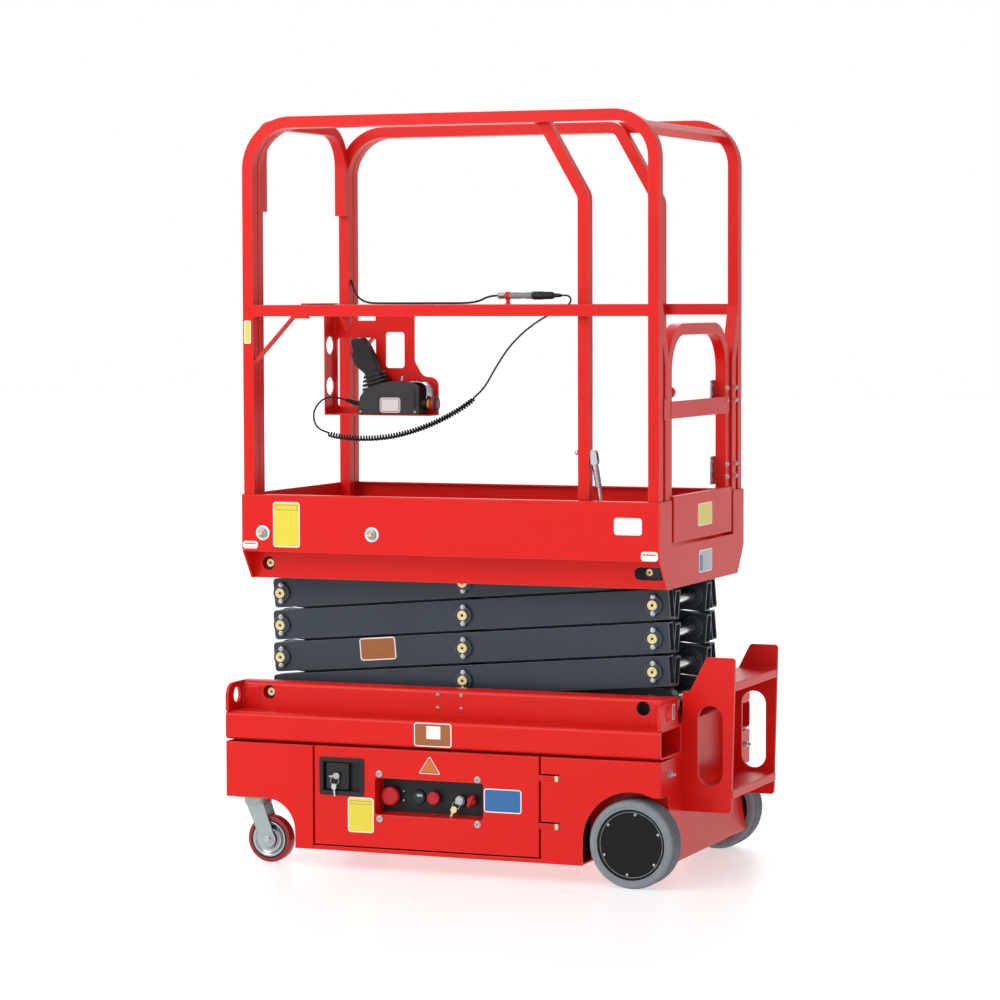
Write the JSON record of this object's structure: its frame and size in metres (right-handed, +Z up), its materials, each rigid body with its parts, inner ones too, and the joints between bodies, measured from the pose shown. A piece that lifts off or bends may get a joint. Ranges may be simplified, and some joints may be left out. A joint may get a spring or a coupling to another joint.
{
  "type": "self-propelled scissor lift",
  "caption": "Compact electric scissor lift with folded guard rails, roll-out deck, entry gate, swing-out side doors, drive wheels and swivel casters.",
  "frame": {"origin": "on the ground under the middle of the machine's overall box", "axes": "+X towards the ladder and drive wheels, +Y to the far side, +Z up"},
  "size_m": [1.376, 0.773, 1.9993],
  "materials": {
    "red_paint": "powder coat, semi-gloss",
    "deck_paint": "powder coat, semi-gloss",
    "arm_paint": "powder coat, satin",
    "black_plastic": "moulded, fine grain",
    "grey_plastic": "moulded, fine grain",
    "cable_black": "cable sheath",
    "tyre_grey": "non-marking rubber",
    "caster_tread": "polyurethane",
    "zinc_steel": "bright zinc plate",
    "cylinder_paint": "enamel",
    "chrome_rod": "hard chrome"
  },
  "bodies": {
    "chassis": {"side_channels": "red_paint", "side_rails": "red_paint", "base_tracks": "red_paint", "base_deck": "red_paint", "drive_body": "red_paint", "drive_end_panels": "red_paint", "caster_end_panels": "red_paint", "caster_bay": "red_paint", "floor_pan": "red_paint", "battery_pack": "black_plastic", "hydraulic_unit": "cylinder_paint", "ladder": "red_paint", "axle_stubs": "zinc_steel"},
    "door_near": {"door_near": "red_paint", "latch_near": "black_plastic", "ground_controls": "black_plastic"},
    "door_far": {"door_far": "red_paint", "latch_far": "black_plastic"},
    "caster_swivel_near": {"caster_fork_near": "zinc_steel"},
    "caster_swivel_far": {"caster_fork_far": "zinc_steel"},
    "caster_roll_near": {"caster_wheel_near": "caster_tread"},
    "caster_roll_far": {"caster_wheel_far": "caster_tread"},
    "drive_near": {"drive_tyre_near": "tyre_grey", "drive_hub_near": "black_plastic"},
    "drive_far": {"drive_tyre_far": "tyre_grey", "drive_hub_far": "black_plastic"},
    "platform": {"platform_sides": "red_paint", "platform_ends": "red_paint", "platform_deck": "red_paint", "platform_tracks": "red_paint", "main_rails": "red_paint"},
    "extension": {"extension_rails": "red_paint", "extension_deck": "deck_paint", "extension_end_board": "red_paint", "station_bracket": "red_paint", "station_box": "grey_plastic", "joystick": "black_plastic", "connector": "black_plastic", "harness_cable": "cable_black", "cord_lead_station": "cable_black", "cord_curl": "cable_black", "cord_lead_connector": "cable_black", "strain_relief": "black_plastic"},
    "gate": {"gate": "red_paint"},
    "lift_barrel": {"cylinder_barrel": "cylinder_paint"},
    "lift_rod": {"cylinder_rod": "chrome_rod"},
    "outer_1": {"outer_arms_1": "arm_paint"},
    "inner_1": {"inner_arms_1": "arm_paint"},
    "outer_2": {"outer_arms_2": "arm_paint"},
    "inner_2": {"inner_arms_2": "arm_paint"},
    "outer_3": {"outer_arms_3": "arm_paint"},
    "inner_3": {"inner_arms_3": "arm_paint"},
    "outer_4": {"outer_arms_4": "arm_paint"},
    "inner_4": {"inner_arms_4": "arm_paint"}
  },
  "joints": [
    {"name": "lift", "type": "hinge", "parent": "chassis", "child": "outer_1", "pos_m": [-0.603, 0, 0.455], "axis": [0, -1, 0], "range_deg": [0, 46.63]},
    {"name": "cross_1", "type": "hinge", "parent": "outer_1", "child": "inner_1", "pos_m": [-0.0675, 0, 0.49875], "axis": [0, -1, 0], "range_deg": [-93.28, 0]},
    {"name": "stage_2", "type": "hinge", "parent": "inner_1", "child": "outer_2", "pos_m": [-0.603, 0, 0.5425], "axis": [0, -1, 0], "range_deg": [0, 93.28]},
    {"name": "cross_2", "type": "hinge", "parent": "outer_2", "child": "inner_2", "pos_m": [-0.0675, 0, 0.58625], "axis": [0, -1, 0], "range_deg": [-93.28, 0]},
    {"name": "stage_3", "type": "hinge", "parent": "inner_2", "child": "outer_3", "pos_m": [-0.603, 0, 0.63], "axis": [0, -1, 0], "range_deg": [0, 93.28]},
    {"name": "cross_3", "type": "hinge", "parent": "outer_3", "child": "inner_3", "pos_m": [-0.0675, 0, 0.67375], "axis": [0, -1, 0], "range_deg": [-93.28, 0]},
    {"name": "stage_4", "type": "hinge", "parent": "inner_3", "child": "outer_4", "pos_m": [-0.603, 0, 0.7175], "axis": [0, -1, 0], "range_deg": [0, 93.28]},
    {"name": "cross_4", "type": "hinge", "parent": "outer_4", "child": "inner_4", "pos_m": [-0.0675, 0, 0.76125], "axis": [0, -1, 0], "range_deg": [-93.28, 0]},
    {"name": "platform_level", "type": "hinge", "parent": "inner_4", "child": "platform", "pos_m": [-0.603, 0, 0.805], "axis": [0, -1, 0], "range_deg": [0, 46.65]},
    {"name": "cylinder_pivot", "type": "hinge", "parent": "inner_1", "child": "lift_barrel", "pos_m": [-0.47448, 0, 0.532], "axis": [0, -1, 0], "range_deg": [0, 103.83]},
    {"name": "cylinder_stroke", "type": "slide", "parent": "lift_barrel", "child": "lift_rod", "axis": [0.99, 0, 0.1407], "range_m": [0, 0.38337]},
    {"name": "extension_slide", "type": "slide", "parent": "platform", "child": "extension", "axis": [-1, 0, 0], "range_m": [0, 0.6]},
    {"name": "gate_swing", "type": "hinge", "parent": "platform", "child": "gate", "pos_m": [0.494, 0.262, 1.1], "axis": [0, 0, -1], "range_deg": [0, 90]},
    {"name": "door_near_swing", "type": "hinge", "parent": "chassis", "child": "door_near", "pos_m": [0.262, -0.365, 0.2], "axis": [0, 0, 1], "range_deg": [0, 95]},
    {"name": "door_far_swing", "type": "hinge", "parent": "chassis", "child": "door_far", "pos_m": [0.262, 0.365, 0.2], "axis": [0, 0, -1], "range_deg": [0, 95]},
    {"name": "caster_swivel_near", "type": "hinge", "parent": "chassis", "child": "caster_swivel_near", "pos_m": [-0.6227, -0.3136, 0.15], "axis": [0, 0, 1], "continuous": true},
    {"name": "caster_roll_near", "type": "hinge", "parent": "caster_swivel_near", "child": "caster_roll_near", "pos_m": [-0.5827, -0.3136, 0.0635], "axis": [0, 1, 0], "continuous": true},
    {"name": "drive_roll_near", "type": "hinge", "parent": "chassis", "child": "drive_near", "pos_m": [0.4707, -0.3465, 0.115], "axis": [0, 1, 0], "continuous": true},
    {"name": "caster_swivel_far", "type": "hinge", "parent": "chassis", "child": "caster_swivel_far", "pos_m": [-0.6227, 0.3136, 0.15], "axis": [0, 0, 1], "continuous": true},
    {"name": "caster_roll_far", "type": "hinge", "parent": "caster_swivel_far", "child": "caster_roll_far", "pos_m": [-0.5827, 0.3136, 0.0635], "axis": [0, 1, 0], "continuous": true},
    {"name": "drive_roll_far", "type": "hinge", "parent": "chassis", "child": "drive_far", "pos_m": [0.4707, 0.3465, 0.115], "axis": [0, 1, 0], "continuous": true}
  ],
  "couplings": [
    {"joint": "cross_1", "follows": "lift", "ratio": -2},
    {"joint": "stage_2", "follows": "lift", "ratio": 2},
    {"joint": "cross_2", "follows": "lift", "ratio": -2},
    {"joint": "stage_3", "follows": "lift", "ratio": 2},
    {"joint": "cross_3", "follows": "lift", "ratio": -2},
    {"joint": "stage_4", "follows": "lift", "ratio": 2},
    {"joint": "cross_4", "follows": "lift", "ratio": -2},
    {"joint": "platform_level", "follows": "lift", "ratio": 1},
    {"joint": "cylinder_pivot", "follows": "lift", "ratio": 2.2264},
    {"joint": "cylinder_stroke", "follows": "lift", "m_per_rad": 0.47045}
  ]
}
